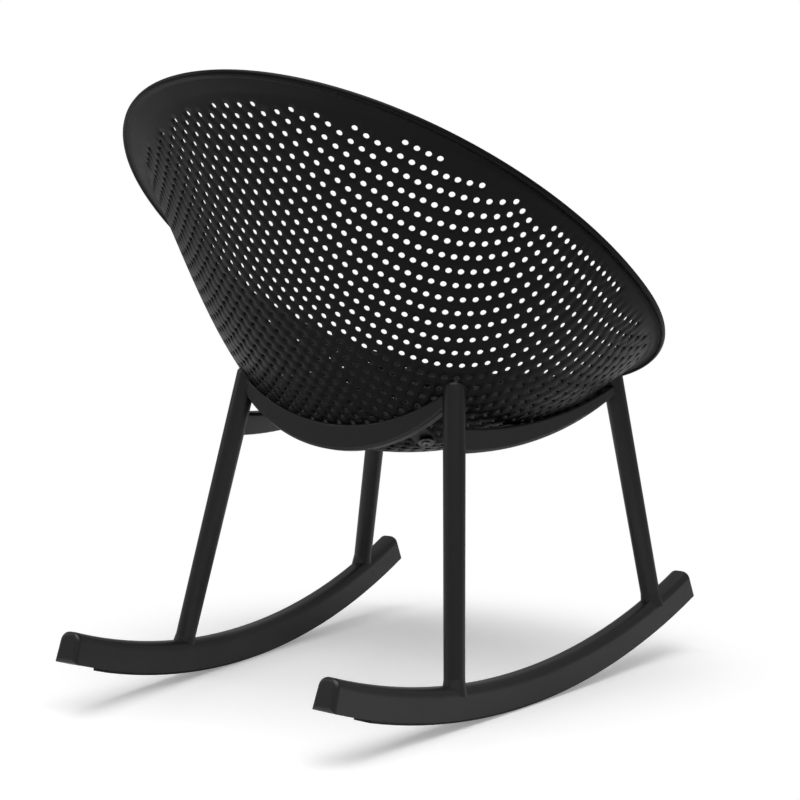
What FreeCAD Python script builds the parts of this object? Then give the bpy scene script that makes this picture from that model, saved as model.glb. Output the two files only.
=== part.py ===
import FreeCAD, Part
import Sketcher
import math
import os
import re
from FreeCAD import Placement, Rotation, Vector

# Moulded plastic rocking chair, in millimetres.
# +Z is up, the sitter faces -Y, and X = 0 is the plane of symmetry.
# The origin is on the floor, at the middle of the chair's overall box.

SIZES = (
    ("rocking_radius", 1157.0, "radius of the tread that rolls on the floor"),
    ("rocking_axis_y", 16.0, "the axis of the tread's curve, behind the middle of the chair"),
    ("rocker_spread", 235.9, "from the plane of symmetry to a rocker, under the rocking axis"),
    ("toe_out", 4.06, "degrees that a rocker turns outwards to the front"),
    ("rocker_height", 40.8, "bare rocker, underside to ridge"),
    ("rocker_base_width", 35.4, "width at the underside"),
    ("rocker_ridge_width", 31.0, "width at the ridge before it is rounded"),
    ("rocker_ridge_round", 12.0, "rounding along both sides of the ridge"),
    ("rocker_end_round", 6.0, "rounding round the two end faces"),
    ("rocker_rear_angle", 19.82, "degrees of curve behind the rocking axis"),
    ("rocker_front_angle", 21.49, "degrees of curve in front of the rocking axis"),
    ("strip_proud", 3.7, "tread of the wear strip below the rocker"),
    ("strip_groove", 2.0, "depth of the groove that holds the strip"),
    ("strip_width", 26.0, "width of the wear strip"),
    ("strip_side_gap", 0.3, "between the strip and the sides of its groove"),
    ("strip_rear_angle", 15.99, "degrees of strip behind the rocking axis"),
    ("strip_front_angle", 17.99, "degrees of strip in front of the rocking axis"),
    ("rear_foot_angle", 7.16, "degrees behind the rocking axis at which a rear leg stands"),
    ("front_foot_angle", 17.07, "degrees in front of the rocking axis at which a front leg stands"),
    ("rear_top_x", 172.0, "top of a rear leg, on its axis"),
    ("rear_top_y", 75.0, "top of a rear leg, on its axis"),
    ("rear_top_z", 430.0, "top of a rear leg, on its axis"),
    ("front_top_x", 200.4, "top of a front leg, on its axis"),
    ("front_top_y", -289.3, "top of a front leg, on its axis"),
    ("front_top_z", 424.0, "top of a front leg, on its axis"),
    ("leg_foot_radius", 13.8, "leg radius at the foot seam"),
    ("leg_top_radius", 15.05, "leg radius at the top"),
    ("leg_top_round", 7.0, "rounding of the top end"),
    ("foot_rise", 7.0, "from the rocker's ridge up to the foot seam"),
    ("foot_flare", 3.0, "how much wider the rocker's boss is at its root"),
    ("foot_root", 14.0, "depth of the boss's root below the ridge"),
    ("rail_thickness", 18.0, "front to back through a rail"),
    ("rail_round", 4.5, "rounding of a rail's long edges"),
    ("rear_rail_z", 365.0, "lowest point of the rear rail's top edge, before the shell's seat is cut"),
    ("rear_rail_depth", 36.0, "depth of the rear rail at its middle"),
    ("rear_rail_top_radius", 288.0, "curve of the rear rail's top edge"),
    ("rear_rail_bottom_radius", 245.0, "curve of the rear rail's bottom edge"),
    ("front_rail_z", 371.0, "lowest point of the front rail's top edge, before the shell's seat is cut"),
    ("front_rail_depth", 36.0, "depth of the front rail at its middle"),
    ("front_rail_top_radius", 490.0, "curve of the front rail's top edge"),
    ("front_rail_bottom_radius", 356.0, "curve of the front rail's bottom edge"),
    ("side_rail_y", -24.0, "where a side rail is lowest"),
    ("side_rail_z", 364.0, "lowest point of a side rail's top edge"),
    ("side_rail_depth", 30.0, "depth of a side rail at its lowest point"),
    ("side_rail_shift", 35.0, "how far behind the top edge's low point the bottom edge is lowest"),
    ("side_rail_top_radius", 900.0, "curve of a side rail's top edge"),
    ("side_rail_bottom_radius", 850.0, "curve of a side rail's bottom edge"),
    ("spigot_radius", 5.0, "round spigot on a rail's end"),
    ("spigot_past", 5.0, "how far the spigot goes past the leg's axis"),
    ("spigot_root", 12.0, "how far the spigot starts inside the rail"),
    ("fit_gap", 0.1, "clearance round spigots, inserts and screws"),
    ("cope_gap", 0.15, "between a rail's hollowed end and its leg"),
    ("seat_gap", 0.3, "between the shell and what carries it"),
    ("tab_thickness", 6.0, "tabs of the front and rear rails, moulded to the shell's curve"),
    ("tab_radius", 14.0, "round end of a tab"),
    ("rear_tab_x", 110.0, "rear tab, from the plane of symmetry"),
    ("rear_tab_reach", 40.0, "rear tab's screw in front of the rear legs' plane"),
    ("front_tab_x", 130.0, "front tab, from the plane of symmetry"),
    ("front_tab_reach", 40.0, "front tab's screw behind the front legs' plane"),
    ("rim_half_width", 360.0, "widest point of the rim"),
    ("rim_back_reach", 481.8, "rim from its widest line up to the top of the back"),
    ("rim_front_reach", 346.0, "rim from its widest line down to the front lip"),
    ("rim_back_power", 2.04, "fullness of the rim's rear half"),
    ("rim_front_power", 2.34, "fullness of the rim's front half"),
    ("rim_tilt", 31.0, "degrees that the rim rises to the back"),
    ("rim_thickness", 6.0, "thickness of the rolled rim"),
    ("rim_roll", 2.2, "how far the rim's two faces are drawn in by its rounded edge"),
    ("rim_flange", 14.6, "width of the rim outside the bowl's wall"),
    ("wall_thickness", 4.0, "wall of the shell"),
    ("bowl_depth", 263.7, "bowl below the plane of the rim"),
    ("bowl_low_y", 60.2, "deepest point of the bowl"),
    ("bowl_low_z", 335.1, "deepest point of the bowl"),
    ("bowl_shift", 15.6, "how far in front of the rim's widest line the bowl is deepest"),
    ("shift_power", 0.4, "how soon the bowl's sections move forwards with depth"),
    ("side_fall", 0.976, "how the bowl's width closes with depth"),
    ("side_round", 2.365, "roundness of the bowl's sides at the bottom"),
    ("back_fall", 0.704, "how the back closes with depth"),
    ("back_round", 1.6, "roundness of the back at the bottom"),
    ("front_fall", 1.004, "how the front closes with depth"),
    ("front_round", 1.6, "roundness of the front at the bottom"),
    ("boss_radius", 8.0, "round boss under the shell, at each screw"),
    ("boss_short", 0.6, "how far a boss ends inside its tab"),
    ("insert_radius", 4.5, "threaded insert in a boss"),
    ("insert_depth", 1.5, "how far the insert reaches into the shell's wall"),
    ("screw_radius", 3.0, "shell screw"),
    ("screw_head_radius", 6.0, "head of a shell screw"),
    ("screw_head_height", 3.5, "head of a shell screw"),
    ("screw_socket_radius", 2.3, "hexagon socket, across its corners"),
    ("washer_radius", 11.0, "washer under a shell screw's head"),
    ("washer_thickness", 1.5, "washer under a shell screw's head"),
    ("bolt_radius", 4.0, "bolt from a rocker up into a leg"),
    ("bolt_head_radius", 6.5, "head of a rocker bolt"),
    ("bolt_head_height", 8.0, "head of a rocker bolt"),
    ("bolt_socket_radius", 3.4, "hexagon socket, across its corners"),
    ("bolt_recess", 14.0, "depth of the recess under a leg"),
    ("bolt_recess_radius", 8.2, "recess under a leg"),
    ("bolt_washer_radius", 7.8, "washer in the recess"),
    ("bolt_washer_thickness", 1.6, "washer in the recess"),
    ("bolt_grip", 20.0, "thread of the bolt above the foot seam"),
    ("foot_insert_radius", 6.0, "threaded insert in a leg's foot"),
    ("foot_insert_length", 25.0, "threaded insert in a leg's foot"),
    ("tack_radius", 1.75, "screw that holds the wear strip"),
    ("tack_head_radius", 3.5, "head of a strip screw"),
    ("tack_head_height", 1.7, "head of a strip screw"),
    ("tack_sink", 1.6, "head of a strip screw above the tread"),
    ("tack_length", 14.0, "strip screw above the rocker's underside"),
)

doc = FreeCAD.newDocument("rocking_chair")
sheet = doc.addObject("Spreadsheet::Sheet", "Sizes")
for row, (alias, value, note) in enumerate(SIZES, start=1):
    sheet.set("A%d" % row, str(value))
    sheet.setAlias("A%d" % row, alias)
    sheet.set("B%d" % row, note)
doc.recompute()


def worth(expression):
    """The number that an expression of the sheet's names comes to."""
    return float(sheet.evalExpression(expression))


def bind(feature, name, expression):
    """Tie one size of a feature to the sheet."""
    feature.setExpression(name, re.sub(r"\b([a-z]+_[a-z_]+)\b", r"Sizes.\1", expression))


# Points and axes of the frame, worked out from the sheet.

UP = Vector(0, 0, 1)
ACROSS = Vector(1, 0, 0)


def along(start, direction):
    """A place at start whose own Z runs along direction."""
    return Placement(start, Rotation(UP, direction))


def rocker_place(side):
    """The rocking axis of one rocker: its own Y runs along the rocker, to the rear."""
    base = Vector(side * worth("rocker_spread"), worth("rocking_axis_y"), worth("rocking_radius"))
    return Placement(base, Rotation(UP, side * worth("toe_out")))


def rocker_point(side, height, degrees):
    """A point over a rocker's centre line: height above the bare underside, degrees to the rear."""
    radius = worth("rocking_radius - strip_proud") - height
    angle = math.radians(degrees)
    return rocker_place(side).multVec(Vector(0, radius * math.sin(angle), -radius * math.cos(angle)))


def leg_axis(side, end):
    """Foot seam, unit direction and length of one leg, and where its axis leaves the rocker."""
    degrees = worth("rear_foot_angle") if end == "rear" else -worth("front_foot_angle")
    ridge = rocker_point(side, worth("rocker_height"), degrees)
    top = Vector(side * worth(end + "_top_x"), worth(end + "_top_y"), worth(end + "_top_z"))
    direction = (top - ridge).normalize()
    seam = ridge + direction * worth("foot_rise")
    inward = (rocker_place(side).Base - ridge).normalize()
    underside = ridge - direction * (worth("rocker_height") / direction.dot(inward))
    return {"seam": seam, "direction": direction, "length": (top - seam).Length, "underside": underside}


def leg_point(leg, height):
    """The point of a leg's axis at a height above the floor."""
    return leg["seam"] + leg["direction"] * ((height - leg["seam"].z) / leg["direction"].z)


# The bowl: egg-shaped sections parallel to the rim, each smaller than the one above it.

SECTION_POINTS = 44
SECTION_STEPS = 13
LAST_SECTION = 0.985


def bowl_axes():
    """The rim's centre, the direction up the back in its plane, and the direction down into the bowl."""
    tilt = math.radians(worth("rim_tilt"))
    back = Vector(0, math.cos(tilt), math.sin(tilt))
    down = Vector(0, math.sin(tilt), -math.cos(tilt))
    low = Vector(0, worth("bowl_low_y"), worth("bowl_low_z"))
    centre = low + back * worth("bowl_shift") - down * worth("bowl_depth")
    return centre, back, down


def closing(share, fall, roundness):
    """How much of the rim's size is left at a share of the bowl's depth."""
    return (1 - share ** worth(fall)) ** (1 / worth(roundness))


def bowl_section(share, grow):
    """Half width, reach to the back, reach to the front and shift of a section, grown outwards."""
    narrowing = grow - worth("rim_flange")
    half = (worth("rim_half_width") + narrowing) * closing(share, "side_fall", "side_round")
    back = (worth("rim_back_reach") + narrowing) * closing(share, "back_fall", "back_round")
    front = (worth("rim_front_reach") + narrowing) * closing(share, "front_fall", "front_round")
    return half, back, front, -worth("bowl_shift") * share ** worth("shift_power")


def egg_wire(half, back_reach, front_reach, shift, depth):
    """A closed smooth wire round one section, at a depth below the rim's plane."""
    centre, back, down = bowl_axes()
    points = []
    for step in range(SECTION_POINTS):
        turn = 2 * math.pi * step / SECTION_POINTS
        rear = math.sin(turn) >= 0
        power = worth("rim_back_power") if rear else worth("rim_front_power")
        reach = back_reach if rear else front_reach
        across = math.copysign(abs(math.cos(turn)) ** (2 / power), math.cos(turn))
        length = math.copysign(abs(math.sin(turn)) ** (2 / power), math.sin(turn))
        points.append(centre + ACROSS * (half * across) + back * (shift + reach * length) + down * depth)
    curve = Part.BSplineCurve()
    curve.interpolate(Points=points, PeriodicFlag=True)
    return Part.Wire([curve.toShape()])


def bowl_solid(grow):
    """The bowl's outside as a solid, grown outwards by a distance."""
    depth = worth("bowl_depth") + grow
    wires = []
    for step in range(SECTION_STEPS):
        share = LAST_SECTION * (1 - math.cos(math.pi / 2 * step / (SECTION_STEPS - 1)))
        half, back, front, shift = bowl_section(share, grow)
        wires.append(egg_wire(half, back, front, shift, depth * share))
    return Part.makeLoft(wires, True, False)


def rim_solid():
    """The rolled rim as a solid plate: both faces are drawn in, so its edge is round."""
    thickness = worth("rim_thickness")
    wires = []
    for place, drawn in ((-0.5, 1.0), (-0.2, 0.15), (0.2, 0.15), (0.5, 1.0)):
        inset = worth("rim_roll") * drawn
        half = worth("rim_half_width") - inset
        back = worth("rim_back_reach") - inset
        front = worth("rim_front_reach") - inset
        wires.append(egg_wire(half, back, front, 0, place * thickness))
    return Part.makeLoft(wires, True, False)


def hollow_solid():
    """The inside of the shell: the bowl less its wall, flared where it meets the rim's upper face."""
    wall = worth("wall_thickness")
    half_rim = worth("rim_thickness") / 2
    half, back, front, shift = bowl_section(0, -wall)
    wires = []
    for above, flare in ((1.2, 7.0), (0.6, 3.6), (0.1, 1.4)):
        wires.append(egg_wire(half + flare, back + flare, front + flare, shift, -half_rim * above))
    for step in range(1, SECTION_STEPS):
        share = LAST_SECTION * (1 - math.cos(math.pi / 2 * step / (SECTION_STEPS - 1)))
        half, back, front, shift = bowl_section(share, -wall)
        wires.append(egg_wire(half, back, front, shift, (worth("bowl_depth") - wall) * share))
    return Part.makeLoft(wires, True, False)


def inside_bowl(point, grow):
    """True where a point is inside the bowl grown by a distance."""
    centre, back, down = bowl_axes()
    offset = point - centre
    share = offset.dot(down) / (worth("bowl_depth") + grow)
    if share <= 0:
        return True
    if share >= LAST_SECTION:
        return False
    half, rear, front, shift = bowl_section(share, grow)
    length = offset.dot(back) - shift
    reach = rear if length >= 0 else front
    power = worth("rim_back_power") if length >= 0 else worth("rim_front_power")
    return (abs(offset.x) / half) ** power + (abs(length) / reach) ** power < 1


def bowl_underside(x, y):
    """The height at which a vertical line meets the bowl from below."""
    low = worth("bowl_low_z") - worth("bowl_depth") / 2
    high = worth("bowl_low_z") + worth("bowl_depth")
    while high - low > 0.001:
        middle = (low + high) / 2
        if inside_bowl(Vector(x, y, middle), 0):
            high = middle
        else:
            low = middle
    return Vector(x, y, high)


def screw_place(x, y):
    """A place on the bowl's underside whose own Z points squarely out of the bowl."""
    step = 4.0
    here = bowl_underside(x, y)
    along_x = bowl_underside(x + step, y) - bowl_underside(x - step, y)
    along_y = bowl_underside(x, y + step) - bowl_underside(x, y - step)
    return along(here, along_y.cross(along_x).normalize())


# Helpers that draw the features.


def new_body(label, place):
    body = doc.addObject("PartDesign::Body", label)
    body.Label = label
    body.Placement = place
    return body


def new_sketch(body, name, role):
    plane = [item for item in body.Origin.OriginFeatures if item.Role == role][0]
    sketch = body.newObject("Sketcher::SketchObject", name)
    sketch.AttachmentSupport = [(plane, "")]
    sketch.MapMode = "FlatFace"
    return sketch


def hold(sketch, kind, geometry, point, expression, origin=(-1, 1)):
    """A driving distance from the origin, tied to the sheet."""
    number = sketch.addConstraint(
        Sketcher.Constraint(kind, origin[0], origin[1], geometry, point, worth(expression)))
    bind(sketch, "Constraints[%d]" % number, expression)


def polygon_sketch(body, name, role, corners):
    """A closed outline of straight lines whose corners are pairs of expressions."""
    sketch = new_sketch(body, name, role)
    points = [Vector(worth(across), worth(up), 0) for across, up in corners]
    count = len(points)
    for index in range(count):
        sketch.addGeometry(Part.LineSegment(points[index], points[(index + 1) % count]), False)
    for index in range(count):
        sketch.addConstraint(Sketcher.Constraint("Coincident", index, 2, (index + 1) % count, 1))
    for index, (across, up) in enumerate(corners):
        hold(sketch, "DistanceX", index, 1, across)
        hold(sketch, "DistanceY", index, 1, up)
    return sketch


def revolve(body, name, sketch, axis, angle):
    turned = body.newObject("PartDesign::Revolution", name)
    turned.Profile = sketch
    turned.ReferenceAxis = (sketch, [axis])
    bind(turned, "Angle", angle)
    return turned


def turned_body(label, place, corners):
    """A turned piece: corners are pairs of radius and height along its axis."""
    body = new_body(label, place)
    sketch = polygon_sketch(body, label + "_outline", "XZ_Plane", corners)
    revolve(body, label + "_turn", sketch, "V_Axis", "360")
    return body


def round_feature(body, kind, name, radius, length, place):
    """A cylinder added to or cut from a body, at a place of the whole chair."""
    feature = body.newObject("PartDesign::" + kind + "Cylinder", name)
    bind(feature, "Radius", radius)
    bind(feature, "Height", length)
    feature.Placement = body.Placement.inverse().multiply(place)
    return feature


def cone_feature(body, kind, name, first, last, length, place):
    feature = body.newObject("PartDesign::" + kind + "Cone", name)
    bind(feature, "Radius1", first)
    bind(feature, "Radius2", last)
    feature.Height = length
    feature.Placement = body.Placement.inverse().multiply(place)
    return feature


def socket_feature(body, name, radius, depth, place):
    """A hexagon socket cut into a screw's head."""
    feature = body.newObject("PartDesign::SubtractivePrism", name)
    feature.Polygon = 6
    bind(feature, "Circumradius", radius)
    bind(feature, "Height", depth)
    feature.Placement = place
    return feature


def round_edges(body, name, base, wanted, radius):
    """Round those edges of a feature that wanted() picks."""
    edges = []
    for number, edge in enumerate(base.Shape.Edges, start=1):
        if wanted(edge):
            edges.append("Edge%d" % number)
    fillet = body.newObject("PartDesign::Fillet", name)
    fillet.Base = (base, edges)
    bind(fillet, "Radius", radius)
    return fillet


def fixed_feature(name, shape):
    feature = doc.addObject("Part::Feature", name)
    feature.Shape = shape
    return feature


def join(kind, label, first, others):
    """A boolean of two or more objects."""
    feature = doc.addObject("Part::" + kind, label)
    feature.Label = label
    feature.Refine = False
    if kind in ("Cut", "Common"):
        feature.Base = first
        feature.Tool = others
    else:
        feature.Shapes = [first] + others
    return feature


def group(label, pieces):
    """Identical pieces that share one node."""
    feature = doc.addObject("Part::Compound", label)
    feature.Label = label
    feature.Links = pieces
    return feature


# The rockers and what is fixed to them.

SIDES = (("left", 1), ("right", -1))
ENDS = ("rear", "front")
TACK_SPOTS = (0.92, 0.2, -0.45, -0.9)


def tack_angle(share):
    """Degrees to the rear of one strip screw, as a share of the strip's reach."""
    return share * worth("strip_rear_angle" if share > 0 else "strip_front_angle")


def tack_place(side, share):
    """On a rocker's bare underside, pointing up into the rocker."""
    start = rocker_point(side, 0, tack_angle(share))
    return along(start, (rocker_place(side).Base - start).normalize())


def arc_body(label, side, front_angle, corners, angle):
    """A bar bent round the rocking axis: corners are across and away from that axis."""
    place = rocker_place(side).multiply(Placement(Vector(), Rotation(ACROSS, -worth(front_angle))))
    body = new_body(label, place)
    sketch = polygon_sketch(body, label + "_section", "XZ_Plane", corners)
    bar = revolve(body, label + "_bar", sketch, "H_Axis", angle)
    doc.recompute()
    return body, bar


def rocker(name, side):
    """A solid moulded runner, with a boss for each leg and a groove for the wear strip."""
    label = name + "_rocker"
    under = "strip_proud - rocking_radius"
    ridge = under + " + rocker_height"
    corners = (
        ("-rocker_base_width / 2", under),
        ("rocker_base_width / 2", under),
        ("rocker_ridge_width / 2", ridge),
        ("-rocker_ridge_width / 2", ridge),
    )
    body, bar = arc_body(label, side, "rocker_front_angle", corners, "rocker_rear_angle + rocker_front_angle")
    ridge_radius = worth("rocking_radius - strip_proud - rocker_height")
    rounded = round_edges(
        body, label + "_ridge", bar,
        lambda edge: edge.Length > ridge_radius * 0.3 and abs(edge.Curve.Radius - ridge_radius) < 1,
        "rocker_ridge_round")
    doc.recompute()
    rounded = round_edges(
        body, label + "_ends", rounded, lambda edge: edge.Length < ridge_radius * 0.3, "rocker_end_round")
    doc.recompute()
    for end in ENDS:
        leg = leg_axis(side, end)
        root = leg["seam"] - leg["direction"] * worth("foot_rise + foot_root")
        cone_feature(
            body, "Additive", "%s_%s_boss" % (label, end), "leg_foot_radius + foot_flare", "leg_foot_radius",
            worth("foot_rise + foot_root"), along(root, leg["direction"]))
        start = leg["underside"] - leg["direction"] * worth("bolt_recess")
        round_feature(
            body, "Subtractive", "%s_%s_recess" % (label, end), "bolt_recess_radius", "bolt_recess * 2",
            along(start, leg["direction"]))
        round_feature(
            body, "Subtractive", "%s_%s_bore" % (label, end), "bolt_radius + fit_gap", "rocker_height * 3",
            along(start, leg["direction"]))
    for number, share in enumerate(TACK_SPOTS, start=1):
        round_feature(
            body, "Subtractive", "%s_pilot_%d" % (label, number), "tack_radius + fit_gap",
            "tack_length + fit_gap", tack_place(side, share))
    groove = polygon_sketch(body, label + "_groove_section", "XZ_Plane", (
        ("-strip_width / 2 - strip_side_gap", under + " - strip_proud"),
        ("strip_width / 2 + strip_side_gap", under + " - strip_proud"),
        ("strip_width / 2 + strip_side_gap", under + " + strip_groove"),
        ("-strip_width / 2 - strip_side_gap", under + " + strip_groove"),
    ))
    turn = Rotation(ACROSS, worth("rocker_front_angle - strip_front_angle"))
    groove.AttachmentOffset = Placement(Vector(), Rotation(ACROSS, 90)).inverse().multiply(
        Placement(Vector(), turn)).multiply(Placement(Vector(), Rotation(ACROSS, 90)))
    doc.recompute()
    before = body.Shape.Volume
    cut = body.newObject("PartDesign::Groove", label + "_groove")
    cut.Profile = groove
    cut.ReferenceAxis = (groove, ["H_Axis"])
    bind(cut, "Angle", "strip_rear_angle + strip_front_angle")
    doc.recompute()
    print(label, "groove removes", round(before - body.Shape.Volume))
    return body


def wear_strip(name, side):
    """A resilient strip let into the rocker: it is the only thing that touches the floor."""
    label = name + "_wear_strip"
    tread = "-rocking_radius"
    back = "-rocking_radius + strip_proud + strip_groove"
    corners = (
        ("-strip_width / 2", tread),
        ("strip_width / 2", tread),
        ("strip_width / 2", back),
        ("-strip_width / 2", back),
    )
    body, bar = arc_body(label, side, "strip_front_angle", corners, "strip_rear_angle + strip_front_angle")
    for number, share in enumerate(TACK_SPOTS, start=1):
        place = tack_place(side, share)
        tread_start = place.multiply(Placement(Vector(0, 0, -worth("strip_proud * 2")), Rotation()))
        round_feature(
            body, "Subtractive", "%s_sink_%d" % (label, number), "tack_head_radius + strip_side_gap",
            "strip_proud + tack_sink + tack_head_height", tread_start)
        round_feature(
            body, "Subtractive", "%s_hole_%d" % (label, number), "tack_radius + fit_gap",
            "strip_proud * 4", tread_start)
    doc.recompute()
    return body


def strip_screws():
    pieces = []
    head = "tack_sink - strip_proud"
    seat = head + " + tack_head_height"
    for name, side in SIDES:
        for number, share in enumerate(TACK_SPOTS, start=1):
            pieces.append(turned_body("%s_strip_screw_%d" % (name, number), tack_place(side, share), (
                ("0", head),
                ("tack_head_radius", head),
                ("tack_head_radius", seat),
                ("tack_radius", seat),
                ("tack_radius", "tack_length - tack_radius"),
                ("0", "tack_length"),
            )))
    return group("strip_screws", pieces)


def each_leg():
    for name, side in SIDES:
        for end in ENDS:
            yield "%s_%s" % (name, end), side, end


def rocker_bolts():
    pieces = []
    for name, side, end in each_leg():
        leg = leg_axis(side, end)
        seat = leg["underside"] + leg["direction"] * worth("bolt_recess - bolt_washer_thickness")
        top = leg["seam"] + leg["direction"] * worth("bolt_grip")
        body = new_body(name + "_bolt", along(seat, leg["direction"]))
        round_feature(
            body, "Additive", name + "_bolt_head", "bolt_head_radius", "bolt_head_height",
            along(seat - leg["direction"] * worth("bolt_head_height"), leg["direction"]))
        shank = round_feature(
            body, "Additive", name + "_bolt_shank", "bolt_radius", "bolt_grip", along(seat, leg["direction"]))
        shank.setExpression("Height", None)
        shank.Height = (top - seat).Length
        socket_feature(
            body, name + "_bolt_socket", "bolt_socket_radius", "bolt_head_height / 2",
            Placement(Vector(0, 0, -worth("bolt_head_height")), Rotation()))
        pieces.append(body)
    return group("rocker_bolts", pieces)


def rocker_bolt_washers():
    pieces = []
    for name, side, end in each_leg():
        leg = leg_axis(side, end)
        seat = leg["underside"] + leg["direction"] * worth("bolt_recess - bolt_washer_thickness")
        pieces.append(turned_body(name + "_bolt_washer", along(seat, leg["direction"]), (
            ("bolt_radius + fit_gap", "0"),
            ("bolt_washer_radius", "0"),
            ("bolt_washer_radius", "bolt_washer_thickness"),
            ("bolt_radius + fit_gap", "bolt_washer_thickness"),
        )))
    return group("rocker_bolt_washers", pieces)


def leg_foot_inserts():
    pieces = []
    for name, side, end in each_leg():
        leg = leg_axis(side, end)
        pieces.append(turned_body(name + "_foot_insert", along(leg["seam"], leg["direction"]), (
            ("bolt_radius + fit_gap", "0"),
            ("foot_insert_radius", "0"),
            ("foot_insert_radius", "foot_insert_length"),
            ("bolt_radius + fit_gap", "foot_insert_length"),
        )))
    return group("leg_foot_inserts", pieces)


# The rails.


def rail_frame(start, length_axis, up_axis):
    """A place whose own X runs along a rail and whose own Y is up, in the plane of its legs."""
    across = length_axis.cross(up_axis).normalize()
    up = across.cross(length_axis).normalize()
    return Placement(FreeCAD.Matrix(
        length_axis.x, up.x, across.x, start.x,
        length_axis.y, up.y, across.y, start.y,
        length_axis.z, up.z, across.z, start.z,
        0, 0, 0, 1))


def arc_height(low, radius, x):
    """Height of an upward-opening arc above its lowest point, which is at low."""
    return radius - math.sqrt(radius ** 2 - (x - low) ** 2)


def rail_ends(place, sizes, legs):
    """Where a rail's middle line meets each leg's axis, and its direction there."""
    top_radius, bottom_radius, depth, shift = [worth(size) for size in sizes]
    ends = []
    for leg in legs:
        first = place.inverse().multVec(leg["seam"])
        slope = place.inverse().Rotation.multVec(leg["direction"])
        x = first.x
        for turn in range(20):
            middle = (arc_height(0, top_radius, x) + arc_height(shift, bottom_radius, x) - depth) / 2
            x = first.x + slope.x * (middle - first.y) / slope.y
        lean = math.atan2(x - shift / 2, (top_radius + bottom_radius) / 2)
        outward = Vector(math.cos(lean), math.sin(lean), 0) * math.copysign(1, x)
        ends.append({"leg": leg, "x": x, "point": place.multVec(Vector(x, middle, 0)),
                     "outward": place.Rotation.multVec(outward)})
    return ends


def rail_sketch(body, sizes, ends):
    """A band between two arcs, closed by an upright line at each end."""
    top_radius, bottom_radius, depth, shift = sizes
    sketch = new_sketch(body, body.Label + "_outline", "XY_Plane")
    first, last = sorted(end["x"] for end in ends)
    arcs = ((0, worth(top_radius), 0), (worth(shift), worth(bottom_radius), -worth(depth)))
    corners = []
    for low, radius, bottom in arcs:
        angles = [-math.acos((x - low) / radius) for x in (first, last)]
        circle = Part.Circle(Vector(low, bottom + radius, 0), UP, radius)
        sketch.addGeometry(Part.ArcOfCircle(circle, angles[0], angles[1]), False)
        corners.append([Vector(x, bottom + arc_height(low, radius, x), 0) for x in (first, last)])
    sketch.addGeometry(Part.LineSegment(corners[0][0], corners[1][0]), False)
    sketch.addGeometry(Part.LineSegment(corners[0][1], corners[1][1]), False)
    for arc, point, line, line_point in ((0, 1, 2, 1), (1, 1, 2, 2), (0, 2, 3, 1), (1, 2, 3, 2)):
        sketch.addConstraint(Sketcher.Constraint("Coincident", arc, point, line, line_point))
    for arc, radius, low, bottom in ((0, top_radius, "0", "0"), (1, bottom_radius, shift, "-" + depth)):
        number = sketch.addConstraint(Sketcher.Constraint("Radius", arc, worth(radius)))
        bind(sketch, "Constraints[%d]" % number, radius)
        hold(sketch, "DistanceX", arc, 3, low)
        hold(sketch, "DistanceY", arc, 3, "%s + %s" % (bottom, radius))
        for point, x in ((1, first), (2, last)):
            sketch.addConstraint(Sketcher.Constraint("DistanceX", -1, 1, arc, point, x))
    return sketch


def rail_blank(label, place, sizes, legs):
    """A curved rail with hollowed ends that fit round the legs, and a spigot on each."""
    ends = rail_ends(place, sizes, legs)
    body = new_body(label, place)
    pad = body.newObject("PartDesign::Pad", label + "_pad")
    pad.Profile = rail_sketch(body, sizes, ends)
    pad.Midplane = True
    bind(pad, "Length", "rail_thickness")
    doc.recompute()
    rounded = round_edges(
        body, label + "_edges", pad, lambda edge: edge.Length > worth("rail_thickness") * 4, "rail_round")
    doc.recompute()
    for number, end in enumerate(ends, start=1):
        leg = end["leg"]
        cone_feature(
            body, "Subtractive", "%s_cope_%d" % (label, number), "leg_foot_radius + cope_gap",
            "leg_top_radius + cope_gap", leg["length"], along(leg["seam"], leg["direction"]))
    for number, end in enumerate(ends, start=1):
        inside = end["point"] - end["outward"] * worth("leg_top_radius + spigot_root")
        round_feature(
            body, "Additive", "%s_spigot_%d" % (label, number), "spigot_radius",
            "leg_top_radius + spigot_root + spigot_past", along(inside, end["outward"]))
    doc.recompute()
    return body, ends


REAR_RAIL = ("rear_rail_top_radius", "rear_rail_bottom_radius", "rear_rail_depth", "0")
FRONT_RAIL = ("front_rail_top_radius", "front_rail_bottom_radius", "front_rail_depth", "0")
SIDE_RAIL = ("side_rail_top_radius", "side_rail_bottom_radius", "side_rail_depth", "side_rail_shift")


def cross_rail_place(end, height):
    """The plane of the two rear or the two front legs, at the rail's lowest point."""
    leg = leg_axis(1, end)
    point = leg_point(leg, height)
    return rail_frame(Vector(0, point.y, height), ACROSS, leg["direction"])


def side_rail_place(side):
    """The plane of the front and rear legs of one side."""
    rear = leg_point(leg_axis(side, "rear"), worth("side_rail_z"))
    front = leg_point(leg_axis(side, "front"), worth("side_rail_z"))
    length_axis = (rear - front).normalize()
    share = (worth("side_rail_y") - front.y) / (rear.y - front.y)
    up_axis = leg_axis(side, "rear")["direction"] + leg_axis(side, "front")["direction"]
    return rail_frame(front + (rear - front) * share, length_axis, up_axis)


def tab_screws(end):
    """The places of the two shell screws over one cross rail."""
    place = cross_rail_place(end, worth(end + "_rail_z"))
    inward = -1 if end == "rear" else 1
    y = place.Base.y + inward * worth(end + "_tab_reach")
    return [screw_place(side * worth(end + "_tab_x"), y) for name, side in SIDES]


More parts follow.
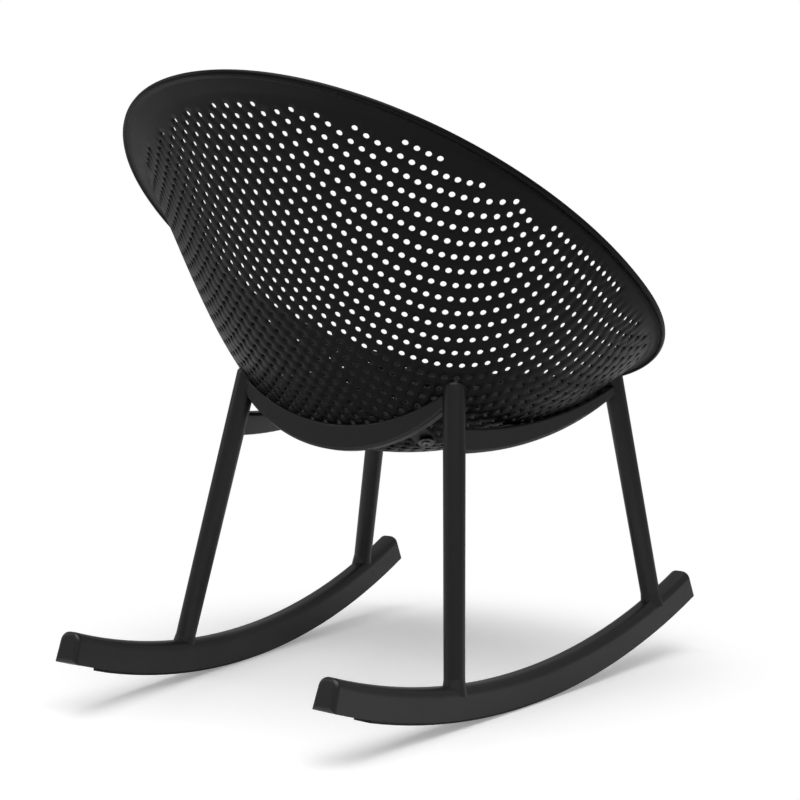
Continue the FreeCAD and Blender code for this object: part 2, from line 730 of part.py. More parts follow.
def tab(label, screw, rail_y, bowl_seat, bowl_tab):
    """A flat arm from a rail to a screw, trimmed to the bowl's curve and drilled for the boss."""
    tall = worth("bowl_depth") / 2
    base = Vector(screw.Base.x, screw.Base.y, screw.Base.z - tall / 2)
    end = doc.addObject("Part::Cylinder", label + "_end")
    bind(end, "Radius", "tab_radius")
    end.Height = tall
    end.Placement = Placement(base, Rotation())
    arm = doc.addObject("Part::Box", label + "_arm")
    bind(arm, "Length", "tab_radius * 2")
    arm.Width = abs(rail_y - screw.Base.y)
    arm.Height = tall
    corner = Vector(base.x - worth("tab_radius"), min(rail_y, screw.Base.y), base.z)
    arm.Placement = Placement(corner, Rotation())
    block = join("MultiFuse", label + "_block", end, [arm])
    under = join("Common", label + "_under", block, bowl_tab)
    plate = join("Cut", label + "_plate", under, bowl_seat)
    hole = doc.addObject("Part::Cylinder", label + "_boss_hole")
    bind(hole, "Radius", "boss_radius + seat_gap")
    hole.Height = worth("tab_thickness") * 4
    hole.Placement = screw.multiply(Placement(Vector(0, 0, -worth("tab_thickness")), Rotation()))
    return join("Cut", label, plate, hole)


def cross_rail(end, sizes, bowl_seat, bowl_tab):
    """A rail between two legs of a pair; the shell rests on it and is screwed to its two tabs."""
    label = end + "_rail"
    place = cross_rail_place(end, worth(end + "_rail_z"))
    legs = [leg_axis(side, end) for name, side in SIDES]
    body, ends = rail_blank(label + "_blank", place, sizes, legs)
    seated = join("Cut", label + "_seated", body, bowl_seat)
    tabs = []
    for number, screw in enumerate(tab_screws(end), start=1):
        tabs.append(tab("%s_tab_%d" % (label, number), screw, place.Base.y, bowl_seat, bowl_tab))
    return join("MultiFuse", label, seated, tabs), ends


def side_rail(name, side, bowl_seat):
    label = name + "_side_rail"
    legs = [leg_axis(side, end) for end in ("front", "rear")]
    body, ends = rail_blank(label + "_blank", side_rail_place(side), SIDE_RAIL, legs)
    return join("Cut", label, body, bowl_seat), ends


# The legs.


def leg(name, side, end, sockets, bowl_seat):
    """A tapered round leg, cut back where the shell passes, with sockets for the rails' spigots."""
    label = "%s_%s_leg" % (name, end)
    axis = leg_axis(side, end)
    place = along(axis["seam"], axis["direction"])
    body = new_body(label + "_blank", place)
    shaft = cone_feature(
        body, "Additive", label + "_shaft", "leg_foot_radius", "leg_top_radius", axis["length"], place)
    doc.recompute()
    round_edges(
        body, label + "_top", shaft, lambda edge: abs(edge.BoundBox.ZMin - axis["length"]) < 0.01, "leg_top_round")
    doc.recompute()
    round_feature(
        body, "Subtractive", label + "_insert_hole", "foot_insert_radius + fit_gap",
        "foot_insert_length + fit_gap", place)
    for number, socket in enumerate(sockets, start=1):
        start = socket["point"] - socket["outward"] * worth("leg_top_radius * 2")
        round_feature(
            body, "Subtractive", "%s_socket_%d" % (label, number), "spigot_radius + fit_gap",
            "leg_top_radius * 2 + spigot_past + seat_gap", along(start, socket["outward"]))
    doc.recompute()
    return join("Cut", label, body, bowl_seat)


# The shell and its screws.


def each_screw():
    """Name and place of each shell screw, and the depth of its tab's underside below the bowl."""
    tab_grow = worth("seat_gap + tab_thickness")
    for end in ENDS:
        for (name, side), place in zip(SIDES, tab_screws(end)):
            axis = place.Rotation.multVec(UP)
            near, far = 0.0, tab_grow * 2
            while far - near > 0.0001:
                middle = (near + far) / 2
                if inside_bowl(place.Base + axis * middle, tab_grow):
                    near = middle
                else:
                    far = middle
            yield "%s_%s" % (name, end), place, "(seat_gap + tab_thickness) * %.5f" % (near / tab_grow)


def seat_shell():
    """One thin moulding: the bowl, its rolled rim, and four bosses that reach into the tabs."""
    wall = worth("wall_thickness")
    outside = bowl_solid(0).fuse(rim_solid())
    holes = []
    for name, place, tab_face in each_screw():
        boss_end = worth(tab_face + " - boss_short")
        axis = place.Rotation.multVec(UP)
        root = place.Base - axis * wall
        outside = outside.fuse(Part.makeCylinder(worth("boss_radius"), wall + boss_end, root, axis))
        depth = worth("insert_depth + fit_gap")
        start = place.Base - axis * depth
        holes.append(Part.makeCylinder(worth("insert_radius + fit_gap"), depth + boss_end + 1, start, axis))
    shape = outside.cut(hollow_solid()).cut(holes)
    feature = doc.addObject("Part::Feature", "seat_shell")
    feature.Label = "seat_shell"
    feature.Shape = shape.Solids[0] if len(shape.Solids) == 1 else shape
    return feature


def shell_inserts():
    pieces = []
    for name, place, tab_face in each_screw():
        pieces.append(turned_body(name + "_shell_insert", place, (
            ("screw_radius + fit_gap", "-insert_depth"),
            ("insert_radius", "-insert_depth"),
            ("insert_radius", tab_face + " - boss_short"),
            ("screw_radius + fit_gap", tab_face + " - boss_short"),
        )))
    return group("shell_inserts", pieces)


def shell_screw_washers():
    pieces = []
    for name, place, tab_face in each_screw():
        pieces.append(turned_body(name + "_washer", place, (
            ("screw_radius + fit_gap", tab_face),
            ("washer_radius", tab_face),
            ("washer_radius", tab_face + " + washer_thickness"),
            ("screw_radius + fit_gap", tab_face + " + washer_thickness"),
        )))
    return group("shell_screw_washers", pieces)


def shell_screws():
    pieces = []
    for name, place, tab_face in each_screw():
        under_head = tab_face + " + washer_thickness"
        body = turned_body(name + "_screw", place, (
            ("0", "fit_gap - insert_depth"),
            ("screw_radius", "fit_gap - insert_depth"),
            ("screw_radius", under_head),
            ("screw_head_radius", under_head),
            ("screw_head_radius", under_head + " + screw_head_height * 0.6"),
            ("screw_head_radius * 0.7", under_head + " + screw_head_height"),
            ("0", under_head + " + screw_head_height"),
        ))
        socket_feature(
            body, name + "_screw_socket", "screw_socket_radius", "screw_head_height",
            Placement(Vector(0, 0, worth(under_head + " + screw_head_height * 0.4")), Rotation()))
        pieces.append(body)
    return group("shell_screws", pieces)


# The whole chair, in the order in which it is put together.

nodes = []
bowl_seat = fixed_feature("bowl_seat", bowl_solid(worth("seat_gap")))
bowl_tab = fixed_feature("bowl_tab", bowl_solid(worth("seat_gap + tab_thickness")))
for name, side in SIDES:
    nodes.append(rocker(name, side))
    nodes.append(wear_strip(name, side))
nodes.append(strip_screws())
nodes.append(rocker_bolts())
nodes.append(rocker_bolt_washers())
nodes.append(leg_foot_inserts())

sockets = {}
for end, sizes in (("rear", REAR_RAIL), ("front", FRONT_RAIL)):
    rail, rail_end_list = cross_rail(end, sizes, bowl_seat, bowl_tab)
    nodes.append(rail)
    for (name, side), rail_end in zip(SIDES, rail_end_list):
        sockets.setdefault((name, end), []).append(rail_end)
for name, side in SIDES:
    rail, rail_end_list = side_rail(name, side, bowl_seat)
    nodes.append(rail)
    for end, rail_end in zip(("front", "rear"), rail_end_list):
        sockets[(name, end)].append(rail_end)
for name, side in SIDES:
    for end in ENDS:
        nodes.append(leg(name, side, end, sockets[(name, end)], bowl_seat))

nodes.append(seat_shell())
nodes.append(shell_inserts())
nodes.append(shell_screw_washers())
nodes.append(shell_screws())
doc.recompute()

# Nothing is written unless every object is sound.

faults = []
for item in doc.Objects:
    if "Invalid" in item.State or "Error" in item.State:
        faults.append("%s: %s" % (item.Name, item.State))
for node in nodes:
    if node.Shape.isNull() or not node.Shape.isValid() or not node.Shape.Solids:
        faults.append("%s: no valid shape" % node.Label)
if faults:
    raise RuntimeError("; ".join(faults))

os.makedirs("parts", exist_ok=True)
for node in nodes:
    node.Shape.exportStep(os.path.join("parts", node.Label + ".step"))
    box = node.Shape.BoundBox
    print("%-22s %2d solid(s) %9.0f mm3  z %6.1f to %6.1f" % (
        node.Label, len(node.Shape.Solids), node.Shape.Volume, box.ZMin, box.ZMax))
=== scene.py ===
import math

import bmesh
import bpy
import numpy as np
from mathutils import Matrix, Vector
from mathutils.geometry import delaunay_2d_cdt


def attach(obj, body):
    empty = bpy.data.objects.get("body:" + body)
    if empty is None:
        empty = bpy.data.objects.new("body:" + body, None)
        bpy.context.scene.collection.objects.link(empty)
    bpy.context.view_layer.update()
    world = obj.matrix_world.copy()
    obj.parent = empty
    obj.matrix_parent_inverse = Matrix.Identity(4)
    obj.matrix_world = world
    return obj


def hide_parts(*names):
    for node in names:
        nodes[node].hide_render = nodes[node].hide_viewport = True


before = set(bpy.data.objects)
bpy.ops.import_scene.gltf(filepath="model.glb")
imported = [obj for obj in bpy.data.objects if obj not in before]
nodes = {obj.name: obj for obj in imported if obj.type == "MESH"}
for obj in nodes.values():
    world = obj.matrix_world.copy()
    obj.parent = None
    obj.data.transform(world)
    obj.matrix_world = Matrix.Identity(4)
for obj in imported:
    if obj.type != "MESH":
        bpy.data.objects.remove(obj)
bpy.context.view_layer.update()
bpy.ops.object.select_all(action="DESELECT")

# ---------------------------------------------------------------------------
# The camera, as the photograph has it: from behind and to the sitter's right,
# a little above the floor, with a long lens.
# ---------------------------------------------------------------------------

camera_data = bpy.data.cameras.new("camera")
camera_data.sensor_fit = "HORIZONTAL"
camera_data.sensor_width = 36.0
camera_data.lens = 85.9146
camera_data.clip_start = 0.05
camera_data.clip_end = 60.0
camera = bpy.data.objects.new("camera", camera_data)
bpy.context.scene.collection.objects.link(camera)
right = Vector((-0.8172, -0.5764, 0.0)).normalized()
forward = Vector((0.5736, -0.8132, -0.0987)).normalized()
upward = right.cross(forward).normalized()
turned = Matrix((right, upward, -forward)).transposed().to_4x4()
camera.matrix_world = Matrix.Translation((-1.5313, 2.1237, 0.6495)) @ turned
bpy.context.scene.camera = camera

# ---------------------------------------------------------------------------
# The floor is a wide pale sheet. The camera sees it a little brighter than the
# lamps make it, and plain white further out, so that it is white everywhere
# but in the chair's own shadow.
# ---------------------------------------------------------------------------

bpy.ops.mesh.primitive_circle_add(
    vertices=96, radius=9.0, fill_type="NGON", location=(0, 0, 0))
floor = bpy.context.object
floor.name = "studio_floor"
pale = bpy.data.materials.new("pale_floor")
pale.use_nodes = True
tree = pale.node_tree
tree.nodes.clear()
out = tree.nodes.new("ShaderNodeOutputMaterial")
paper = tree.nodes.new("ShaderNodeBsdfDiffuse")
paper.inputs["Color"].default_value = (0.80, 0.80, 0.80, 1)
bright = tree.nodes.new("ShaderNodeBsdfDiffuse")
bright.inputs["Color"].default_value = (0.92, 0.92, 0.92, 1)
glow = tree.nodes.new("ShaderNodeEmission")
glow.inputs["Color"].default_value = (1, 1, 1, 1)
glow.inputs["Strength"].default_value = 0.27
lit = tree.nodes.new("ShaderNodeAddShader")
far = tree.nodes.new("ShaderNodeEmission")
far.inputs["Color"].default_value = (1, 1, 1, 1)
far.inputs["Strength"].default_value = 1.0
spot = tree.nodes.new("ShaderNodeTexCoord")
reach = tree.nodes.new("ShaderNodeVectorMath")
reach.operation = "LENGTH"
fade = tree.nodes.new("ShaderNodeMapRange")
fade.interpolation_type = "SMOOTHSTEP"
fade.inputs["From Min"].default_value = 0.38
fade.inputs["From Max"].default_value = 0.72
seen = tree.nodes.new("ShaderNodeMixShader")
pick = tree.nodes.new("ShaderNodeMixShader")
path = tree.nodes.new("ShaderNodeLightPath")
tree.links.new(bright.outputs[0], lit.inputs[0])
tree.links.new(glow.outputs[0], lit.inputs[1])
tree.links.new(spot.outputs["Object"], reach.inputs[0])
tree.links.new(reach.outputs["Value"], fade.inputs["Value"])
tree.links.new(fade.outputs["Result"], seen.inputs[0])
tree.links.new(lit.outputs[0], seen.inputs[1])
tree.links.new(far.outputs[0], seen.inputs[2])
tree.links.new(path.outputs["Is Camera Ray"], pick.inputs[0])
tree.links.new(paper.outputs[0], pick.inputs[1])
tree.links.new(seen.outputs[0], pick.inputs[2])
tree.links.new(pick.outputs[0], out.inputs["Surface"])
floor.data.materials.append(pale)

# The world lights the chair softly from all round, and is white to the camera.
world = bpy.data.worlds.new("studio")
bpy.context.scene.world = world
world.use_nodes = True
tree = world.node_tree
tree.nodes.clear()
out = tree.nodes.new("ShaderNodeOutputWorld")
room = tree.nodes.new("ShaderNodeBackground")
room.inputs["Color"].default_value = (1, 1, 1, 1)
room.inputs["Strength"].default_value = 0.30
white = tree.nodes.new("ShaderNodeBackground")
white.inputs["Color"].default_value = (1, 1, 1, 1)
white.inputs["Strength"].default_value = 1.0
pick = tree.nodes.new("ShaderNodeMixShader")
path = tree.nodes.new("ShaderNodeLightPath")
tree.links.new(path.outputs["Is Camera Ray"], pick.inputs[0])
tree.links.new(room.outputs[0], pick.inputs[1])
tree.links.new(white.outputs[0], pick.inputs[2])
tree.links.new(pick.outputs[0], out.inputs["Surface"])

# One large lamp above and a weaker one on either side.
for name, place, aim, size, power in (
    ("softbox_above", (-0.4, 0.8, 3.2), (0, 0, 0.3), 3.4, 98.0),
    ("softbox_left", (3.0, 1.6, 2.0), (0, 0, 0.4), 1.8, 11.0),
    ("softbox_right", (-3.1, 0.6, 2.3), (0, 0, 0.4), 2.0, 3.0),
):
    lamp_data = bpy.data.lights.new(name, "AREA")
    lamp_data.shape = "SQUARE"
    lamp_data.size = size
    lamp_data.energy = power
    lamp = bpy.data.objects.new(name, lamp_data)
    bpy.context.scene.collection.objects.link(lamp)
    lamp.location = place
    lamp.rotation_euler = (Vector(aim) - Vector(place)).to_track_quat("-Z", "Y").to_euler()

bpy.context.scene.view_settings.view_transform = "Standard"

# ---------------------------------------------------------------------------
# The wear strips: soft strips let into the treads of the two rockers, which
# touch the floor and keep the rockers from marking it.
# ---------------------------------------------------------------------------


def fine_grain():
    """A node group for moulded surfaces: a fine texture and broad, faint polish marks."""
    group = bpy.data.node_groups.new("fine_grain", "ShaderNodeTree")
    for name, way, kind in (
        ("Grain scale", "INPUT", "NodeSocketFloat"),
        ("Grain height", "INPUT", "NodeSocketFloat"),
        ("Dull", "INPUT", "NodeSocketFloat"),
        ("Polished", "INPUT", "NodeSocketFloat"),
        ("Dark", "INPUT", "NodeSocketColor"),
        ("Light", "INPUT", "NodeSocketColor"),
        ("Colour", "OUTPUT", "NodeSocketColor"),
        ("Roughness", "OUTPUT", "NodeSocketFloat"),
        ("Normal", "OUTPUT", "NodeSocketVector"),
    ):
        group.interface.new_socket(name, in_out=way, socket_type=kind)
    entry = group.nodes.new("NodeGroupInput")
    leave = group.nodes.new("NodeGroupOutput")
    place = group.nodes.new("ShaderNodeTexCoord")
    grain = group.nodes.new("ShaderNodeTexNoise")
    grain.inputs["Detail"].default_value = 2.0
    group.links.new(place.outputs["Object"], grain.inputs["Vector"])
    group.links.new(entry.outputs["Grain scale"], grain.inputs["Scale"])
    bump = group.nodes.new("ShaderNodeBump")
    bump.inputs["Distance"].default_value = 0.0004
    group.links.new(entry.outputs["Grain height"], bump.inputs["Strength"])
    group.links.new(grain.outputs["Fac"], bump.inputs["Height"])
    flow = group.nodes.new("ShaderNodeTexNoise")
    flow.inputs["Scale"].default_value = 7.0
    flow.inputs["Detail"].default_value = 4.0
    flow.inputs["Roughness"].default_value = 0.6
    group.links.new(place.outputs["Object"], flow.inputs["Vector"])
    spread = group.nodes.new("ShaderNodeMapRange")
    spread.inputs["From Min"].default_value = 0.3
    spread.inputs["From Max"].default_value = 0.7
    group.links.new(flow.outputs["Fac"], spread.inputs["Value"])
    # A Mix node's sockets 2 and 3 are its two floats, and 6 and 7 its two colours.
    gloss = group.nodes.new("ShaderNodeMix")
    gloss.data_type = "FLOAT"
    group.links.new(spread.outputs["Result"], gloss.inputs[0])
    group.links.new(entry.outputs["Dull"], gloss.inputs[2])
    group.links.new(entry.outputs["Polished"], gloss.inputs[3])
    tone = group.nodes.new("ShaderNodeMix")
    tone.data_type = "RGBA"
    group.links.new(spread.outputs["Result"], tone.inputs[0])
    group.links.new(entry.outputs["Dark"], tone.inputs[6])
    group.links.new(entry.outputs["Light"], tone.inputs[7])
    group.links.new(tone.outputs[2], leave.inputs["Colour"])
    group.links.new(gloss.outputs[0], leave.inputs["Roughness"])
    group.links.new(bump.outputs["Normal"], leave.inputs["Normal"])
    return group


def moulded(name, settings, specular, metallic=0.0):
    """A material whose colour, roughness and normal come from the grain group."""
    material = bpy.data.materials.new(name)
    material.use_nodes = True
    tree = material.node_tree
    shader = tree.nodes["Principled BSDF"]
    shader.inputs["Specular IOR Level"].default_value = specular
    shader.inputs["Metallic"].default_value = metallic
    grain = tree.nodes.new("ShaderNodeGroup")
    grain.node_tree = bpy.data.node_groups.get("fine_grain") or fine_grain()
    for socket, value in settings.items():
        grain.inputs[socket].default_value = value
    tree.links.new(grain.outputs["Colour"], shader.inputs["Base Color"])
    tree.links.new(grain.outputs["Roughness"], shader.inputs["Roughness"])
    tree.links.new(grain.outputs["Normal"], shader.inputs["Normal"])
    return material


def dress(node, material):
    """The CAD node keeps its shape and takes the material in every slot."""
    mesh = nodes[node].data
    if not mesh.materials:
        mesh.materials.append(material)
    for number in range(len(mesh.materials)):
        mesh.materials[number] = material


strip_rubber = moulded("strip_rubber", {
    "Grain scale": 1400.0, "Grain height": 0.12, "Dull": 0.72, "Polished": 0.58,
    "Dark": (0.012, 0.012, 0.012, 1), "Light": (0.020, 0.020, 0.021, 1)}, 0.35)
dress("left_wear_strip", strip_rubber)
dress("right_wear_strip", strip_rubber)

# ---------------------------------------------------------------------------
# The rockers: solid runners, moulded in one with a round boss under each leg.
# Their ridges are rounded and catch the light along their whole length.
# ---------------------------------------------------------------------------

rocker_plastic = moulded("rocker_plastic", {
    "Grain scale": 1100.0, "Grain height": 0.07, "Dull": 0.40, "Polished": 0.31,
    "Dark": (0.0085, 0.0085, 0.0088, 1), "Light": (0.0125, 0.0125, 0.0130, 1)}, 0.46)
dress("left_rocker", rocker_plastic)
dress("right_rocker", rocker_plastic)

# ---------------------------------------------------------------------------
# The small screws of the wear strips, and the bolts and washers that come up
# through the rockers into the legs: stainless steel, turned and pressed.
# ---------------------------------------------------------------------------

stainless = moulded("stainless", {
    "Grain scale": 2600.0, "Grain height": 0.05, "Dull": 0.34, "Polished": 0.24,
    "Dark": (0.50, 0.50, 0.51, 1), "Light": (0.58, 0.58, 0.59, 1)}, 0.5, 1.0)
for node in ("strip_screws", "rocker_bolts", "rocker_bolt_washers"):
    dress(node, stainless)

# ---------------------------------------------------------------------------
# The four screws that hold the shell, and their washers: stainless steel that
# is darkened, so that they don't show against the black plastic.
# ---------------------------------------------------------------------------

dark_stainless = moulded("dark_stainless", {
    "Grain scale": 2600.0, "Grain height": 0.05, "Dull": 0.40, "Polished": 0.26,
    "Dark": (0.16, 0.16, 0.163, 1), "Light": (0.24, 0.24, 0.245, 1)}, 0.5, 1.0)
for node in ("shell_screws", "shell_screw_washers"):
    dress(node, dark_stainless)

# ---------------------------------------------------------------------------
# The threaded inserts in the legs' feet and in the shell's bosses: plain
# brass, pressed in while the plastic is warm.
# ---------------------------------------------------------------------------

insert_brass = moulded("insert_brass", {
    "Grain scale": 2200.0, "Grain height": 0.05, "Dull": 0.38, "Polished": 0.26,
    "Dark": (0.55, 0.41, 0.18, 1), "Light": (0.64, 0.49, 0.24, 1)}, 0.5, 1.0)
for node in ("leg_foot_inserts", "shell_inserts"):
    dress(node, insert_brass)

# ---------------------------------------------------------------------------
# The legs and rails: round tapered legs and curved rails, black moulded
# plastic with a satin finish.
# ---------------------------------------------------------------------------

frame_plastic = moulded("frame_plastic", {
    "Grain scale": 1100.0, "Grain height": 0.07, "Dull": 0.40, "Polished": 0.30,
    "Dark": (0.0062, 0.0062, 0.0067, 1), "Light": (0.0092, 0.0092, 0.0100, 1)}, 0.46)
for node in ("left_rear_leg", "right_rear_leg", "left_front_leg", "right_front_leg",
             "rear_rail", "front_rail", "left_side_rail", "right_side_rail"):
    dress(node, frame_plastic)

# ---------------------------------------------------------------------------
# The seat shell: one thin moulding with a rolled rim and over 1700 round
# holes in a staggered pattern, screwed down at four bosses beneath.
# ---------------------------------------------------------------------------

shell_plastic = moulded("shell_plastic", {
    "Grain scale": 1000.0, "Grain height": 0.08, "Dull": 0.40, "Polished": 0.31,
    "Dark": (0.0030, 0.0030, 0.0033, 1), "Light": (0.0048, 0.0048, 0.0053, 1)}, 0.13)

# Points of the bowl are given by x, across, and v, back, in the plane of its rim.
rim_tilt = math.radians(31.0)
bowl_across = np.array((1.0, 0.0, 0.0))
bowl_back = np.array((0.0, math.cos(rim_tilt), math.sin(rim_tilt)))
bowl_down = np.array((0.0, math.sin(rim_tilt), -math.cos(rim_tilt)))
bowl_depth = 0.2637
bowl_shift = 0.0156
bowl_foot = np.array((0.0, 0.0602, 0.3351))
rim_centre = bowl_foot + bowl_shift * bowl_back - bowl_depth * bowl_down
rim_half, rim_rear, rim_front, rim_flange = 0.360, 0.4818, 0.346, 0.0146
rear_power, front_power = 2.04, 2.34
wall = 0.004


def bowl_section(share):
    """The bowl at a share of its depth: half width, reach to the back and front, and shift."""
    half = (rim_half - rim_flange) * (1 - share ** 0.976) ** (1 / 2.365)
    rear = (rim_rear - rim_flange) * (1 - share ** 0.704) ** (1 / 1.6)
    front = (rim_front - rim_flange) * (1 - share ** 1.004) ** (1 / 1.6)
    return half, rear, front, -bowl_shift * share ** 0.4


def egg_measure(x, v, half, rear, front):
    """Below 1 inside the egg-shaped outline, 1 on it and above 1 outside."""
    reach = np.where(v >= 0, rear, front)
    power = np.where(v >= 0, rear_power, front_power)
    return (np.abs(x) / half) ** power + (np.abs(v) / reach) ** power


def egg(half, rear, front, shift, count):
    """A closed egg-shaped ring in the rim's plane."""
    turn = 2 * np.pi * np.arange(count) / count
    sine, cosine = np.sin(turn), np.cos(turn)
    power = np.where(sine >= 0, rear_power, front_power)
    reach = np.where(sine >= 0, rear, front)
    across = np.sign(cosine) * np.abs(cosine) ** (2 / power)
    length = np.sign(sine) * np.abs(sine) ** (2 / power)
    return half * across, shift + reach * length


def bowl_drop(x, v):
    """How far the bowl's outside lies below the rim's plane, found by halving."""
    near = np.zeros_like(x)
    far = np.full_like(x, 0.9999)
    for halving in range(34):
        middle = (near + far) / 2
        half, rear, front, shift = bowl_section(middle)
        inside = egg_measure(x, v - shift, half, rear, front) < 1
        near = np.where(inside, middle, near)
        far = np.where(inside, far, middle)
    return bowl_depth * (near + far) / 2


def bowl_point(x, v):
    """Points of the bowl's outside and its outward normals there."""
    x, v = np.asarray(x, float), np.asarray(v, float)
    drop = bowl_drop(x, v)
    step = 0.0008
    slope_x = (bowl_drop(x + step, v) - bowl_drop(x - step, v)) / (2 * step)
    slope_v = (bowl_drop(x, v + step) - bowl_drop(x, v - step)) / (2 * step)
    point = (rim_centre + x[:, None] * bowl_across + v[:, None] * bowl_back
             + drop[:, None] * bowl_down)
    normal = bowl_down - slope_x[:, None] * bowl_across - slope_v[:, None] * bowl_back
    normal /= np.linalg.norm(normal, axis=1)[:, None]
    return point, normal


row_steps = {
    12: 0.491, 10: 0.465, 8: 0.439, 6: 0.413, 4: 0.387, 2: 0.361, 0: 0.337,
    -2: 0.313, -4: 0.290, -6: 0.269, -8: 0.247, -10: 0.225, -12: 0.204,
}
lowest_step = -12
even_pitch = 0.0107


def row_height(row):
    """How far back a row of holes lies: by steps high up the back, then evenly."""
    if row >= lowest_step:
        low, high = 2 * math.floor(row / 2), 2 * math.ceil(row / 2)
        return (row_steps[low] + row_steps[high]) / 2
    return row_steps[lowest_step] + even_pitch * (row - lowest_step)


def lattice_point(row, column):
    """A point of the staggered pattern: its rows lift at the sides and spread further down."""
    lift = 2.5e-9 * max(0.0, (-row - 12) / 14) * abs(column) ** 5
    v = row_height(row) + lift
    share = min(max((0.270 - v) / 0.270, 0.0), 1.0)
    pitch = 0.0103 + 0.00125 * share * share * (3 - 2 * share)
    return column * pitch, v


# The four places where the shell is screwed down, taken from the CAD's inserts.
screw_spots = []
insert_points = np.array([corner.co for corner in nodes["shell_inserts"].data.vertices])
middle_y = insert_points[:, 1].mean()
for side in (-1, 1):
    for end in (-1, 1):
        mine = insert_points[(np.sign(insert_points[:, 0]) == side)
                             & (np.sign(insert_points[:, 1] - middle_y) == end)]
        offset = mine.mean(axis=0) - rim_centre
        screw_spots.append((offset @ bowl_across, offset @ bowl_back))

# The holes' centres: every second point of the lattice that is clear of the
# rim and of the four bosses.
columns = range(-31, 32)
rim_share = 0.985
rim_margin, side_margin = 0.0108, 0.018
boss_margin = 0.0135
spots = np.array([lattice_point(row, column) for row in range(11, -66, -1)
                  for column in columns if (row + column) % 2 == 0])
spots = spots[egg_measure(spots[:, 0], spots[:, 1], rim_half - rim_flange,
                          rim_rear - rim_flange, rim_front - rim_flange) < rim_share]
spots = spots[bowl_drop(spots[:, 0], spots[:, 1]) > rim_margin + side_margin * np.abs(spots[:, 0])]
clear = np.ones(len(spots), bool)
for x, v in screw_spots:
    clear &= np.hypot(spots[:, 0] - x, spots[:, 1] - v) > boss_margin
spots = spots[clear]

# Each hole's corners lie on a circle in the bowl's own surface. They are laid
# out in the rim's plane, with the bowl's upper edge round them.
hole_radius = 0.0046
hole_waist = 0.0040
waist_depth = 0.0006
hole_sides = 12
centres, normals = bowl_point(spots[:, 0], spots[:, 1])
level = bowl_across - normals * (normals @ bowl_across)[:, None]
level /= np.linalg.norm(level, axis=1)[:, None]
steep = np.cross(normals, level)
plane_points = []
plane_edges = []
hole_of = []
for number in range(len(spots)):
    start = len(plane_points)
    for corner in range(hole_sides):
        turn = 2 * math.pi * (corner + 0.5) / hole_sides
        offset = hole_radius * (math.cos(turn) * level[number] + math.sin(turn) * steep[number])
        plane_points.append((spots[number][0] + offset @ bowl_across,
                             spots[number][1] + offset @ bowl_back))
        plane_edges.append((start + corner, start + (corner + 1) % hole_sides))
        hole_of.append(number)

rim_count = 240
edge_drop = 0.005
edge_x, edge_v = egg(*bowl_section(edge_drop / bowl_depth), rim_count)
edge_start = len(plane_points)
for number in range(rim_count):
    plane_points.append((edge_x[number], edge_v[number]))
    plane_edges.append((edge_start + number, edge_start + (number + 1) % rim_count))
    hole_of.append(-1)

# More points between the holes and along the edge keep the triangles short,
# so that the surface follows the bowl.
filler_drop = 0.0062
filler_from_hole = 0.0068
filler_apart = 0.004
fillers = []
for drop in (0.0065, 0.0085, 0.011, 0.015):
    fillers.extend(zip(*egg(*bowl_section(drop / bowl_depth), 160)))
fillers.extend(lattice_point(row, column) for row in range(11, -67, -1)
               for column in columns if (row + column) % 2)
fillers = np.array(fillers)
half, rear, front, shift = bowl_section(filler_drop / bowl_depth)
fillers = fillers[egg_measure(fillers[:, 0], fillers[:, 1] - shift, half, rear, front) < 1]
kept = []
for x, v in fillers:
    if np.hypot(spots[:, 0] - x, spots[:, 1] - v).min() < filler_from_hole:
        continue
    if kept and np.hypot(*(np.array(kept) - (x, v)).T).min() < filler_apart:
        continue
    kept.append((x, v))
plane_points.extend(kept)
hole_of.extend([-1] * len(kept))

merge_distance = 1e-7
flat_points, _, flat_faces, from_points, _, _ = delaunay_2d_cdt(
    [Vector(point) for point in plane_points], plane_edges, [], 0, merge_distance)
flat = np.array([tuple(point) for point in flat_points])
owner = [min(origin) if origin else -1 for origin in from_points]
place_of = {origin: number for number, origin in enumerate(owner) if origin >= 0}
outer, outward = bowl_point(flat[:, 0], flat[:, 1])
inner = outer - wall * outward

# The bowl's two skins, open at every hole, and a narrower waist in each hole.
mesh = bmesh.new()
outer_corners = [mesh.verts.new(point) for point in outer]
inner_corners = [mesh.verts.new(point) for point in inner]
for face in flat_faces:
    holes = {hole_of[owner[corner]] if owner[corner] >= 0 else -1 for corner in face}
    if len(holes) == 1 and -1 not in holes:
        continue
    mesh.faces.new([outer_corners[corner] for corner in face])
    mesh.faces.new([inner_corners[corner] for corner in reversed(face)])
for number in range(len(spots)):
    ring = [place_of[number * hole_sides + corner] for corner in range(hole_sides)]
    waist = []
    for corner in ring:
        spoke = outer[corner] - centres[number]
        spoke -= normals[number] * (spoke @ normals[number])
        narrowed = (outer[corner] - spoke * (1 - hole_waist / hole_radius)
                    - waist_depth * normals[number])
        waist.append(mesh.verts.new(narrowed))
    for corner in range(hole_sides):
        after = (corner + 1) % hole_sides
        a, b = ring[corner], ring[after]
        mesh.faces.new((outer_corners[b], outer_corners[a], waist[corner], waist[after]))
        mesh.faces.new((waist[after], waist[corner], inner_corners[a], inner_corners[b]))


def join_rings(low, high):
    """A band of faces between two rings of the rim."""
    for number in range(rim_count):
        after = (number + 1) % rim_count
        mesh.faces.new((low[after], low[number], high[number], high[after]))


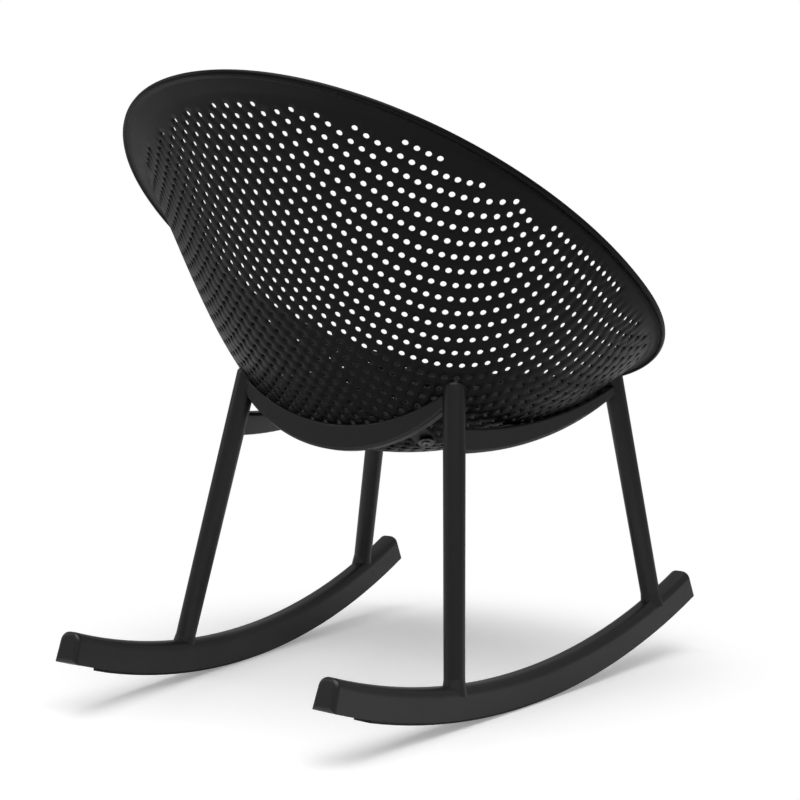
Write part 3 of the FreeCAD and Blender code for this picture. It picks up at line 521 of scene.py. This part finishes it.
# The rim, from the bowl's outside round to its inside: each pair is an inset
# from the rim's outline and a depth below its plane.
rim_profile = (
    (0.0144, 0.0036), (0.0128, 0.0029), (0.0110, 0.0027), (0.0056, 0.0027), (0.0050, 0.0031),
    (0.0044, 0.0039), (0.0030, 0.0045), (0.0014, 0.0038), (0.0003, 0.0018), (0.0000, -0.0002),
    (0.0004, -0.0018), (0.0014, -0.0028), (0.0030, -0.0031), (0.0090, -0.0031), (0.0118, -0.0028),
    (0.0145, -0.0020), (0.0172, -0.0006),
)
last = [outer_corners[place_of[edge_start + number]] for number in range(rim_count)]
for inset, depth in rim_profile:
    ring_x, ring_v = egg(rim_half - inset, rim_rear - inset, rim_front - inset, 0.0, rim_count)
    ring = [mesh.verts.new(rim_centre + x * bowl_across + v * bowl_back + depth * bowl_down)
            for x, v in zip(ring_x, ring_v)]
    join_rings(last, ring)
    last = ring
join_rings(last, [inner_corners[place_of[edge_start + number]] for number in range(rim_count)])
bmesh.ops.recalc_face_normals(mesh, faces=mesh.faces)

# The four bosses are short tubes: each pair is a radius and a height along the
# bowl's outward normal.
boss_profile = ((0.0046, 0.0), (0.0080, -0.0012), (0.0080, 0.0056), (0.0046, 0.0056))
boss_sides = 32
for point, normal in zip(*bowl_point(*zip(*screw_spots))):
    turn_to = Vector(normal).to_track_quat("Z", "Y").to_matrix()
    rings = []
    for radius, along in boss_profile:
        ring = []
        for number in range(boss_sides):
            turn = 2 * math.pi * number / boss_sides
            offset = Vector((radius * math.cos(turn), radius * math.sin(turn), along))
            ring.append(mesh.verts.new(Vector(point) + turn_to @ offset))
        rings.append(ring)
    for number in range(boss_sides):
        after = (number + 1) % boss_sides
        for low, high in zip(rings, rings[1:] + rings[:1]):
            mesh.faces.new((low[number], low[after], high[after], high[number]))

shell_mesh = bpy.data.meshes.new("perforated_shell")
mesh.to_mesh(shell_mesh)
mesh.free()
shell = bpy.data.objects.new("perforated_shell", shell_mesh)
bpy.context.scene.collection.objects.link(shell)
shell_mesh.materials.append(shell_plastic)
bpy.ops.object.select_all(action="DESELECT")
shell.select_set(True)
bpy.context.view_layer.objects.active = shell
bpy.ops.object.shade_smooth_by_angle(angle=math.radians(52))
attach(shell, "root")
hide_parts("seat_shell")
